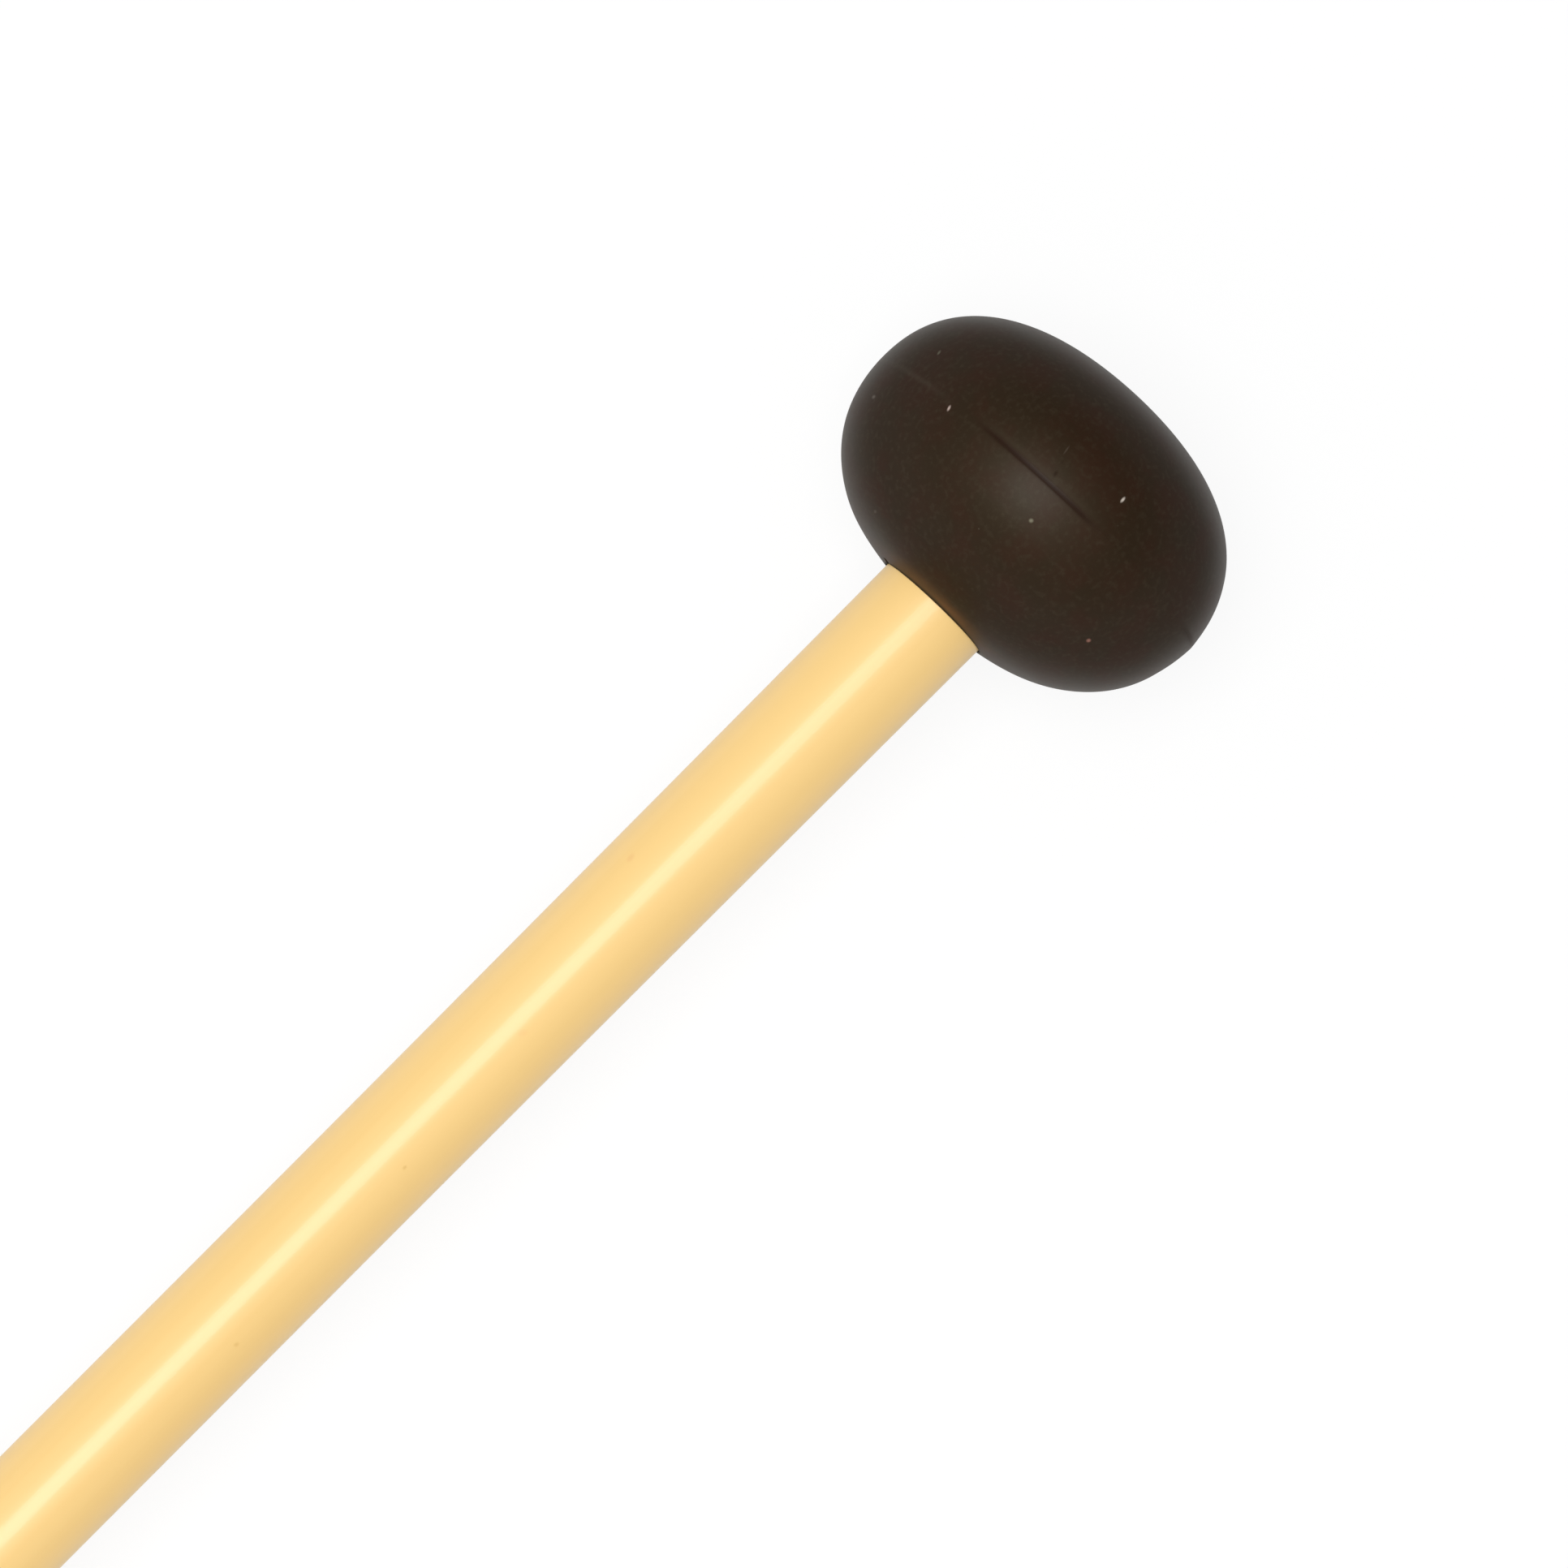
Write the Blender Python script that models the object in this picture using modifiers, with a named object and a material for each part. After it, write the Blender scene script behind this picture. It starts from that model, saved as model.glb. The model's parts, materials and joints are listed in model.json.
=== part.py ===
"""Keyboard percussion mallet: a moulded rubber head bonded to a turned, lacquered dowel.

Each piece is turned about its own axis, from a profile in the XZ plane. The mallet is built
upright, butt end at z = 0 and head at the top, and one empty then lays it on the floor, where
the rim of the head and the butt of the shaft carry it. Lengths are in metres.
"""

import math

import bpy

MM = 0.001

# Whole mallet
OVERALL_LENGTH = 380.0 * MM      # flat of the butt to the tip of the head
FIT_GAP = 0.3 * MM               # kept between pieces that touch

# Shaft: a 5/16 inch dowel that swells a little towards the head
SHAFT_DIAMETER = 7.94 * MM
NECK_DIAMETER = 8.27 * MM        # where the shaft goes into the head
SWELL_LENGTH = 58.0 * MM         # stretch below the head over which it swells
SWELL_EASING = 1.3               # 1 is a plain taper, more starts it softer
BUTT_ROUNDING = 1.2 * MM         # eased edge of the free end
SEAT_DEPTH = 12.5 * MM           # length of shaft inside the head
SEAT_CHAMFER = 0.8 * MM          # chamfer that leads the shaft into the head

# Head: two moulded halves that meet in a low, broad ridge at the widest place
HEAD_DIAMETER = 27.82 * MM       # of the two halves, without the ridge
TIP_RISE = 9.72 * MM             # widest place to the tip
TIP_FULLNESS = 2.36              # 2 is an ellipse, more is squarer
BASE_RISE = 10.08 * MM           # widest place to where the base would meet the axis
BASE_FULLNESS = 2.22
RIDGE_HEIGHT = 0.13 * MM
RIDGE_TIP_WIDTH = 4.6 * MM       # crest to the foot of its flank, on the tip side
RIDGE_BASE_WIDTH = 2.8 * MM
RIDGE_HOLLOW = 1.3               # 1 is a straight flank, more is hollower
HEAD_LEAN = math.radians(2.4)    # the head is bonded a little out of square
HEAD_OFFSET = 0.1 * MM           # and a little beside the axis of the shaft

# Hole in the head
MOUTH_DROP = 9.25 * MM           # widest place to where the wall of the hole begins
LIP_RADIUS = 0.4 * MM            # rounding of the rubber where the shaft goes in
LIP_SWEEP = math.radians(60)
HOLE_CORNER = 0.8 * MM           # rounded corner at the closed end
PLUG_THICKNESS = 1.0 * MM        # pool of adhesive at the closed end

# Facets
HEAD_STEPS = 64
SHAFT_STEPS = 48
HALF_RINGS = 14                  # rings from the widest place to the tip, and to the base
SWELL_RINGS = 8
RIDGE_RINGS = (0.06, 0.15, 0.3, 0.5, 0.75, 1.0)   # shares of a flank where its rings stand
CORNER_RINGS = 5

SHAFT_RADIUS = SHAFT_DIAMETER / 2
NECK_RADIUS = NECK_DIAMETER / 2
HEAD_RADIUS = HEAD_DIAMETER / 2
HOLE_RADIUS = NECK_RADIUS + FIT_GAP
WIDEST_AT = OVERALL_LENGTH - TIP_RISE
MOUTH_AT = WIDEST_AT - MOUTH_DROP
SEATED_END = MOUTH_AT + SEAT_DEPTH
HOLE_END = SEATED_END + PLUG_THICKNESS + 2 * FIT_GAP


def new_collection(name):
    collection = bpy.data.collections.new(name)
    bpy.context.scene.collection.children.link(collection)
    return collection


def principled(name, colour, roughness, coat=0.0):
    material = bpy.data.materials.new(name)
    material.use_nodes = True
    shader = material.node_tree.nodes["Principled BSDF"]
    shader.inputs["Base Color"].default_value = (*colour, 1.0)
    shader.inputs["Roughness"].default_value = roughness
    shader.inputs["Metallic"].default_value = 0.0
    shader.inputs["Coat Weight"].default_value = coat
    material.diffuse_color = (*colour, 1.0)
    return material


def arc(centre_r, centre_z, radius, start, sweep):
    """Points of a circular arc in a profile, ends included; angles from +r towards +z."""
    points = []
    for i in range(CORNER_RINGS + 1):
        angle = start + sweep * i / CORNER_RINGS
        points.append((centre_r + radius * math.cos(angle), centre_z + radius * math.sin(angle)))
    return points


def turned(name, profile, steps, collection):
    """A solid turned about Z from (radius, height) points that run down the outer side.
    The profile stands half a facet off +X, so that a flat of the piece faces that way."""
    angle = math.pi / steps
    verts = [(r * math.cos(angle), r * math.sin(angle), z) for r, z in profile]
    edges = [(i, i + 1) for i in range(len(verts) - 1)]
    mesh = bpy.data.meshes.new(name)
    mesh.from_pydata(verts, edges, [])
    piece = bpy.data.objects.new(name, mesh)
    collection.objects.link(piece)
    screw = piece.modifiers.new("turn", "SCREW")
    screw.steps = steps
    screw.render_steps = steps
    screw.use_merge_vertices = True
    screw.merge_threshold = 1e-6
    screw.use_smooth_shade = True
    return piece


def set_finish(piece, material):
    """Bakes the modifiers, shades the round sides smooth and keeps the flats sharp."""
    bpy.context.view_layer.update()
    evaluated = piece.evaluated_get(bpy.context.evaluated_depsgraph_get())
    mesh = bpy.data.meshes.new_from_object(evaluated)
    piece.modifiers.clear()
    piece.data = mesh
    mesh.name = piece.name
    mesh.shade_smooth()
    mesh.set_sharp_from_angle(angle=math.radians(32))
    mesh.materials.clear()
    mesh.materials.append(material)


def half_profile(rise, fullness, share):
    """(radius, height) on one half of the head; share runs from 0, widest, to 1, on the axis."""
    angle = share * math.pi / 2
    power = 2 / fullness
    radius = HEAD_RADIUS * max(math.cos(angle), 0.0) ** power
    return radius, rise * math.sin(angle) ** power


def half_radius(rise, fullness, height):
    """Radius of one half of the head at a height above or below its widest place."""
    return HEAD_RADIUS * (1 - (height / rise) ** fullness) ** (1 / fullness)


def with_ridge(radius, height, width):
    """Adds what the ridge stands out at a height from its crest: slightly hollow flanks."""
    return radius + RIDGE_HEIGHT * max(0.0, 1 - height / width) ** RIDGE_HOLLOW


def half_points(rise, fullness, width):
    """(radius, height) from the crest of the ridge to the last ring before the axis."""
    points = [(HEAD_RADIUS + RIDGE_HEIGHT, 0.0)]
    for share in RIDGE_RINGS:
        height = share * width
        points.append((with_ridge(half_radius(rise, fullness, height), height, width), height))
    for i in range(1, HALF_RINGS):
        radius, height = half_profile(rise, fullness, i / HALF_RINGS)
        if height > width:
            points.append((radius, height))
    return points


def head_profile():
    """Tip to base, heights from the widest place; on the axis at both ends."""
    tip = half_points(TIP_RISE, TIP_FULLNESS, RIDGE_TIP_WIDTH)
    base = half_points(BASE_RISE, BASE_FULLNESS, RIDGE_BASE_WIDTH)
    profile = [(0.0, TIP_RISE)] + tip[::-1]
    profile += [(radius, -height) for radius, height in base[1:]]
    profile.append((0.0, -BASE_RISE))
    return profile


def hole_profile():
    """The tool that cuts the blind hole, with the rounded lip at its mouth."""
    profile = [(0.0, HOLE_END)]
    profile += arc(HOLE_RADIUS - HOLE_CORNER, HOLE_END - HOLE_CORNER, HOLE_CORNER,
                   math.pi / 2, -math.pi / 2)
    profile += arc(HOLE_RADIUS + LIP_RADIUS, MOUTH_AT, LIP_RADIUS, math.pi, LIP_SWEEP)
    flare = 3 * LIP_RADIUS      # runs straight on, out through the rubber
    radius, height = profile[-1]
    radius += flare * math.sin(LIP_SWEEP)
    height -= flare * math.cos(LIP_SWEEP)
    profile.append((radius, height))
    profile.append((radius, height - flare))
    profile.append((0.0, height - flare))
    return profile


def shaft_profile():
    """Seated end at the top, butt at the bottom."""
    profile = [(0.0, SEATED_END), (NECK_RADIUS - SEAT_CHAMFER, SEATED_END)]
    profile.append((NECK_RADIUS, SEATED_END - SEAT_CHAMFER))
    for i in range(SWELL_RINGS + 1):
        share = 1 - i / SWELL_RINGS
        radius = SHAFT_RADIUS + (NECK_RADIUS - SHAFT_RADIUS) * share ** SWELL_EASING
        profile.append((radius, MOUTH_AT - SWELL_LENGTH * (1 - share)))
    profile += arc(SHAFT_RADIUS - BUTT_ROUNDING, BUTT_ROUNDING, BUTT_ROUNDING, 0, -math.pi / 2)
    profile.append((0.0, 0.0))
    return profile


def plug_profile():
    """A shallow cup of adhesive between the closed end of the hole and the chamfered shaft."""
    top = HOLE_END - FIT_GAP
    outer = HOLE_RADIUS - FIT_GAP
    floor = SEATED_END + FIT_GAP
    across = FIT_GAP * math.tan(math.pi / 8)    # keeps the gap round the chamfer's corner
    inner = NECK_RADIUS - SEAT_CHAMFER + across
    rim = floor - (outer - inner)
    profile = [(0.0, top)]
    profile += arc(outer - HOLE_CORNER, top - HOLE_CORNER, HOLE_CORNER, math.pi / 2, -math.pi / 2)
    profile += [(outer, rim), (inner, floor), (0.0, floor)]
    return profile


def lying_angle():
    """(tilt of the shaft, height of the butt's centre) with the mallet resting on the floor."""
    flat = math.cos(math.pi / HEAD_STEPS)
    rim = (HEAD_RADIUS + RIDGE_HEIGHT) * flat
    shaft_rim = (SHAFT_RADIUS - BUTT_ROUNDING) * math.cos(math.pi / SHAFT_STEPS)
    tilt = 0.0
    butt_height = SHAFT_RADIUS
    for _ in range(6):
        head_height = rim * math.sqrt(1 - (math.cos(HEAD_LEAN) * math.sin(tilt)) ** 2)
        tilt = math.asin((head_height - butt_height) / WIDEST_AT)
        butt_height = shaft_rim * math.cos(tilt) + BUTT_ROUNDING * (1 - math.sin(tilt))
    return tilt, butt_height


def lay_down(pieces):
    """Parents the pieces to an empty that lays them along X, centred on the origin."""
    tilt, butt_height = lying_angle()
    rest = bpy.data.objects.new("rest", None)
    bpy.context.scene.collection.objects.link(rest)
    rest.rotation_euler = (0.0, math.pi / 2 - tilt, 0.0)
    rest.location = (-OVERALL_LENGTH * math.cos(tilt) / 2, 0.0, butt_height)
    for piece in pieces:
        piece.parent = rest


def main():
    for old in list(bpy.data.objects):
        bpy.data.objects.remove(old)
    mallet = new_collection("keyboard_mallet")
    tools = new_collection("cutters")

    rubber = principled("rubber", (0.030, 0.019, 0.012), 0.45)
    birch = principled("lacquered_birch", (0.86, 0.60, 0.27), 0.40, coat=1.0)
    glue = principled("adhesive", (0.62, 0.50, 0.28), 0.30)

    shaft = turned("shaft", shaft_profile(), SHAFT_STEPS, mallet)
    plug = turned("adhesive_plug", plug_profile(), SHAFT_STEPS, mallet)
    head = turned("rubber_head", head_profile(), HEAD_STEPS, mallet)
    head.location = (0.0, HEAD_OFFSET, WIDEST_AT)
    head.rotation_euler = (-HEAD_LEAN, 0.0, 0.0)
    hole = turned("hole_cutter", hole_profile(), SHAFT_STEPS, tools)
    hole.hide_render = True
    hole.display_type = "WIRE"
    lay_down((shaft, plug, head, hole))

    cut = head.modifiers.new("hole", "BOOLEAN")
    cut.operation = "DIFFERENCE"
    cut.solver = "EXACT"
    cut.object = hole
    set_finish(head, rubber)
    set_finish(shaft, birch)
    set_finish(plug, glue)


main()
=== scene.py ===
# Keyboard percussion mallet: a moulded rubber head on a lacquered dowel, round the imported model.
# Lengths are metres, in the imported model's own frame: the mallet lies along X on a floor at z = 0.

import json
import math

import bpy
from mathutils import Matrix, Vector


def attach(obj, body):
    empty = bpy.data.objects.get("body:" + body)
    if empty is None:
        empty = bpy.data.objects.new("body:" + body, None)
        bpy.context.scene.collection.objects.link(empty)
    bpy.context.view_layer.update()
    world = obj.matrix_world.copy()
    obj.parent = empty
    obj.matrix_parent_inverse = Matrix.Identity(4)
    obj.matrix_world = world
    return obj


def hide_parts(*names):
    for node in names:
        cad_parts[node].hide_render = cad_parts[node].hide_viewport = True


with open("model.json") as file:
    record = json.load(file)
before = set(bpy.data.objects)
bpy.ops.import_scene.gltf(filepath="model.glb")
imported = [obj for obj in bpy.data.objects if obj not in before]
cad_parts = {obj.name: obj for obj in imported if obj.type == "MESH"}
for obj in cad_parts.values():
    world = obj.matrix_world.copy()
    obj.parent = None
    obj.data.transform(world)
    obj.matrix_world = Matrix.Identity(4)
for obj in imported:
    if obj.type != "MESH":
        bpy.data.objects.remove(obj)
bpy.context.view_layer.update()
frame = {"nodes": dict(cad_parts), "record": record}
scene = bpy.context.scene
mm = 0.001
weldReach = 0.0005 * mm     # sheets whose edges lie closer than this become one surface
print("frame loaded, nodes:", ", ".join(sorted(frame["nodes"])))

# The butt mount gives the shaft's own axes: height runs up the shaft from the middle of its butt
butt = next(mount for mount in frame["record"]["mounts"] if mount["name"] == "butt_face")
alongShaft = -Vector(butt["axis"]).normalized()
acrossShaft = Vector((0.0, 1.0, 0.0))
downShaft = acrossShaft.cross(alongShaft)            # points at the floor
layDown = Matrix((downShaft, acrossShaft, alongShaft)).transposed().to_4x4()
layDown.translation = Vector(butt["pos_m"])
restTilt = math.asin(alongShaft.z)


class Wire:
    # An output socket of a node; maths on it adds Math nodes to the same tree

    def __init__(self, graph, socket):
        self.graph = graph
        self.socket = socket

    def pick(self, name):
        return Wire(self.graph, self.socket.node.outputs[name])

    def maths(self, operation, *values, clamp=False):
        settings = {"operation": operation, "use_clamp": clamp}
        return self.graph.add("ShaderNodeMath", settings, dict(enumerate(values)))

    def __add__(self, other):
        return self.maths("ADD", self, other)

    def __radd__(self, other):
        return self.maths("ADD", other, self)

    def __sub__(self, other):
        return self.maths("SUBTRACT", self, other)

    def __rsub__(self, other):
        return self.maths("SUBTRACT", other, self)

    def __mul__(self, other):
        return self.maths("MULTIPLY", self, other)

    def __rmul__(self, other):
        return self.maths("MULTIPLY", other, self)

    def __truediv__(self, other):
        return self.maths("DIVIDE", self, other)

    def __rtruediv__(self, other):
        return self.maths("DIVIDE", other, self)

    def __pow__(self, other):
        return self.maths("POWER", self, other)

    def __neg__(self):
        return self.maths("MULTIPLY", self, -1.0)

    def __abs__(self):
        return self.maths("ABSOLUTE", self)

    def vector(self, operation, other=None):
        sockets = {0: self} if other is None else {0: self, 1: other}
        return self.graph.add("ShaderNodeVectorMath", {"operation": operation}, sockets)

    def __gt__(self, other):
        return self.maths("GREATER_THAN", self, other)

    def sin(self):
        return self.maths("SINE", self)

    def cos(self):
        return self.maths("COSINE", self)

    def arcSin(self):
        return self.maths("ARCSINE", self)

    def atLeast(self, other):
        return self.maths("MAXIMUM", self, other)

    # 0 at start and before, 1 at end and past it, with soft ends
    def ease(self, start, end):
        share = self.maths("DIVIDE", self - start, end - start, clamp=True)
        return share * share * (3.0 - 2.0 * share)

    # 1 on the middle, falling off like a bell of that width
    def bell(self, middle, width):
        off = (self - middle) / width
        return self.maths("EXPONENT", -(off * off))


class Graph:
    # A node tree; every node comes from add, its settings first and then its sockets

    def __init__(self, tree):
        self.tree = tree

    def add(self, nodeType, settings=None, sockets=None):
        node = self.tree.nodes.new(nodeType)
        for name, value in (settings or {}).items():
            setattr(node, name, value)
        for name, value in (sockets or {}).items():
            self.join(self.find(node.inputs, name), value)
        return Wire(self, next((socket for socket in node.outputs if socket.enabled), None))

    def find(self, sockets, name):
        if isinstance(name, int):
            return sockets[name]
        return next(socket for socket in sockets if socket.name == name and socket.enabled)

    def join(self, socket, value):
        if isinstance(value, Wire):
            self.tree.links.new(value.socket, socket)
        elif isinstance(value, list):
            for wire in value:
                self.tree.links.new(wire.socket, socket)
        else:
            socket.default_value = value

    # first where share is 0, second where it is 1; each is a colour or a wire
    def mix(self, share, first, second):
        settings = {"data_type": "RGBA"}
        first = first if isinstance(first, Wire) else (*first, 1.0)
        second = second if isinstance(second, Wire) else (*second, 1.0)
        return self.add("ShaderNodeMix", settings, {"Factor": share, "A": first, "B": second})


# Geometry Nodes: a turned piece is made of sheets, each bent round the axis by its own rule


def pieceTree(name, sizes):
    tree = bpy.data.node_groups.new(name, "GeometryNodeTree")
    tree.interface.new_socket("Mesh", in_out="OUTPUT", socket_type="NodeSocketGeometry")
    for label, value in sizes.items():
        kind = "NodeSocketInt" if isinstance(value, int) else "NodeSocketFloat"
        tree.interface.new_socket(label, in_out="INPUT", socket_type=kind).default_value = value
    tree.interface.new_socket("Finish", in_out="INPUT", socket_type="NodeSocketMaterial")
    graph = Graph(tree)
    start = graph.add("NodeGroupInput")
    return graph, {label: start.pick(label) for label in [*sizes, "Finish"]}


# radius and height are rules of the share of the stretch, 0 to 1, that runs up the outer side
def turnedSheet(graph, segments, rings, radius, height):
    counts = {"Size X": 1.0, "Size Y": 1.0, "Vertices X": segments + 1, "Vertices Y": rings + 1}
    grid = graph.add("GeometryNodeMeshGrid", {}, counts)
    place = graph.add("ShaderNodeSeparateXYZ", {}, {"Vector": graph.add("GeometryNodeInputPosition")})
    angle = (place + 0.5) * math.tau
    share = place.pick("Y") + 0.5
    reach = radius(share)
    point = {"X": reach * angle.cos(), "Y": reach * angle.sin(), "Z": height(share)}
    point = graph.add("ShaderNodeCombineXYZ", {}, point)
    return graph.add("GeometryNodeSetPosition", {}, {"Geometry": grid, "Position": point})


# Joins the sheets into one closed surface with its finish
def closeUp(graph, parts, finish):
    mesh = graph.add("GeometryNodeJoinGeometry", {}, {"Geometry": parts})
    mesh = graph.add("GeometryNodeMergeByDistance", {}, {"Geometry": mesh, "Distance": weldReach})
    mesh = graph.add("GeometryNodeSetShadeSmooth", {}, {"Geometry": mesh, "Shade Smooth": True})
    mesh = graph.add("GeometryNodeRealizeInstances", {}, {"Geometry": mesh})
    mesh = graph.add("GeometryNodeSetMaterial", {}, {"Geometry": mesh, "Material": finish})
    graph.add("NodeGroupOutput", {}, {"Mesh": mesh})


# Runs the tree once, keeps its mesh and lays it down along the shaft
def makePiece(name, graph, values):
    piece = bpy.data.objects.new(name, bpy.data.meshes.new(name))
    scene.collection.objects.link(piece)
    builder = piece.modifiers.new("build", "NODES")
    builder.node_group = graph.tree
    for item in graph.tree.interface.items_tree:
        if item.in_out == "INPUT":
            builder[item.identifier] = values[item.name]
    evaluated = piece.evaluated_get(bpy.context.evaluated_depsgraph_get())
    mesh = bpy.data.meshes.new_from_object(evaluated)
    piece.modifiers.clear()
    piece.data = mesh
    mesh.name = name
    mesh.materials.clear()
    mesh.materials.append(values["Finish"])
    mesh.transform(layDown)
    return piece


# Shaders


def newMaterial(name):
    material = bpy.data.materials.new(name)
    material.use_nodes = True
    material.node_tree.nodes.clear()
    return material, Graph(material.node_tree)


def finishMaterial(graph, sockets, bump=None):
    if bump:
        sockets = {**sockets, "Normal": bump}
    shader = graph.add("ShaderNodeBsdfPrincipled", {}, sockets)
    graph.add("ShaderNodeOutputMaterial", {}, {"Surface": shader})


def objectPoint(graph):
    return graph.add("ShaderNodeTexCoord").pick("Object")


# Where the camera's ray through a pixel of the photograph meets a piece
def placeAtPixel(piece, pixel):
    eye = scene.camera.matrix_world
    middle = camera["frameSize"] / 2
    ray = Vector((pixel[0] - middle, middle - pixel[1], -focalPixels()))
    bpy.context.view_layer.update()
    found, place = piece.ray_cast(eye.translation, (eye.to_3x3() @ ray).normalized())[:2]
    if not found:
        print("no surface at pixel", pixel)
    return place


# A mark is whole up to the first share of its half size, and gone at the second
markFade = (0.25, 1.65)


# 1 on a small oval mark on the piece, its long side turned up from the picture's right by slant
def markShare(graph, point, piece, mark):
    right, up, back = (Vector(column[:3]) for column in scene.camera.matrix_world.col[:3])
    slant = math.radians(mark["slant"])
    long = right * math.cos(slant) + up * math.sin(slant)
    turn = Matrix((long, back.cross(long), back)).transposed().to_euler()
    size = (mark["length"] / 2, mark["width"] / 2, mark["length"])
    place = {"Location": placeAtPixel(piece, mark["pixel"]), "Rotation": turn, "Scale": size}
    local = graph.add("ShaderNodeMapping", {"vector_type": "TEXTURE"}, {"Vector": point, **place})
    reach = local.vector("LENGTH").pick("Value")
    return (1.0 - reach.ease(*markFade)) * mark["show"]


def addMarks(graph, point, piece, marks, colour):
    for mark in marks:
        colour = graph.mix(markShare(graph, point, piece, mark), colour, mark["colour"])
    return colour


# Shaft

shaft = {
    "radius": 3.97 * mm,            # a 5/16 inch dowel
    "neckRadius": 4.135 * mm,       # where it goes into the head
    "swellLength": 58.0 * mm,       # stretch below the head over which it swells
    "swellEasing": 1.3,
    "mouthHeight": 361.03 * mm,     # butt to the place where the rubber begins
    "seatDepth": 12.5 * mm,
    "seatChamfer": 0.8 * mm,
    "buttRounding": 1.2 * mm,
    "segments": 160,
    "rings": 120,
    "buttRings": 8,
    "roundingRings": 10,
    "chamferRings": 1,
    "seatRings": 3,
    "sharpEdge": math.radians(40),
    "colour": (0.865, 0.588, 0.225),
    "streakColour": (0.835, 0.550, 0.195),
    "streakScale": (12.0, 900.0, 900.0),    # the streaks run up the shaft
    "streakFade": (0.45, 0.75),
    "streakShare": 0.35,
    "cloudScale": 45.0,
    "cloudFade": (0.4, 0.8),
    "cloudShare": 0.25,
    "ringColour": (0.66, 0.43, 0.19),   # end grain of the butt
    "ringDepth": 0.9 * mm,          # it fades out this far up the shaft
    "ringSpacing": 0.9 * mm,
    "ringHeart": (9.0 * mm, -6.0 * mm),     # middle of the rings, beside the shaft's axis
    "ringWander": 4.0,              # how far the streaks bend the rings, in radians
    "ringMean": 0.5,
    "ringSwing": 0.25,
    "roughness": 0.42,
    "streakRoughness": 0.06,
    "coat": 0.22,
    "coatRoughness": 0.14,
}

shaftMarks = [      # small blemishes under the lacquer, by their pixels in the photograph
    {"pixel": (291.3, 1656.7), "length": 0.34 * mm, "width": 0.26 * mm, "slant": 30, "show": 0.5,
     "colour": (0.70, 0.42, 0.12)},
    {"pixel": (498.7, 1438.5), "length": 0.30 * mm, "width": 0.20 * mm, "slant": 45, "show": 0.5,
     "colour": (0.66, 0.38, 0.10)},
    {"pixel": (777.0, 1056.8), "length": 0.60 * mm, "width": 0.34 * mm, "slant": 50, "show": 0.4,
     "colour": (0.80, 0.44, 0.17)},
    {"pixel": (644.0, 1272.5), "length": 0.60 * mm, "width": 0.40 * mm, "slant": 20, "show": 0.35,
     "colour": (0.84, 0.48, 0.18)},
]


def shaftTree():
    sizes = {
        "Radius": shaft["radius"],
        "Neck Radius": shaft["neckRadius"],
        "Swell Length": shaft["swellLength"],
        "Swell Easing": shaft["swellEasing"],
        "Mouth Height": shaft["mouthHeight"],
        "Seated Height": shaft["mouthHeight"] + shaft["seatDepth"],
        "Chamfer": shaft["seatChamfer"],
        "Rounding": shaft["buttRounding"],
        "Segments": shaft["segments"],
        "Rings": shaft["rings"],
        "Butt Rings": shaft["buttRings"],
        "Rounding Rings": shaft["roundingRings"],
        "Chamfer Rings": shaft["chamferRings"],
        "Seat Rings": shaft["seatRings"],
    }
    graph, size = pieceTree("turned shaft", sizes)
    radius, neck, rounding = size["Radius"], size["Neck Radius"], size["Rounding"]
    seated, chamfer = size["Seated Height"], size["Chamfer"]
    flat = radius - rounding
    bodyTop = seated - chamfer

    def swelling(share):
        height = rounding + (bodyTop - rounding) * share
        start = size["Mouth Height"] - size["Swell Length"]
        near = height.maths("DIVIDE", height - start, size["Swell Length"], clamp=True)
        return radius + (neck - radius) * near ** size["Swell Easing"]

    segments = size["Segments"]
    quarter = math.pi / 2
    # the butt's flat, its rounded edge, the swelling body, the chamfer and the seated end
    parts = [
        turnedSheet(graph, segments, size["Butt Rings"],
                    lambda t: flat * t, lambda t: 0.0 * t),
        turnedSheet(graph, segments, size["Rounding Rings"],
                    lambda t: flat + rounding * (t * quarter).sin(),
                    lambda t: rounding * (1.0 - (t * quarter).cos())),
        turnedSheet(graph, segments, size["Rings"],
                    swelling, lambda t: rounding + (bodyTop - rounding) * t),
        turnedSheet(graph, segments, size["Chamfer Rings"],
                    lambda t: neck - chamfer * t, lambda t: bodyTop + chamfer * t),
        turnedSheet(graph, segments, size["Seat Rings"],
                    lambda t: (neck - chamfer) * (1.0 - t), lambda t: seated + 0.0 * t),
    ]
    closeUp(graph, parts, size["Finish"])
    return graph, sizes


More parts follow.
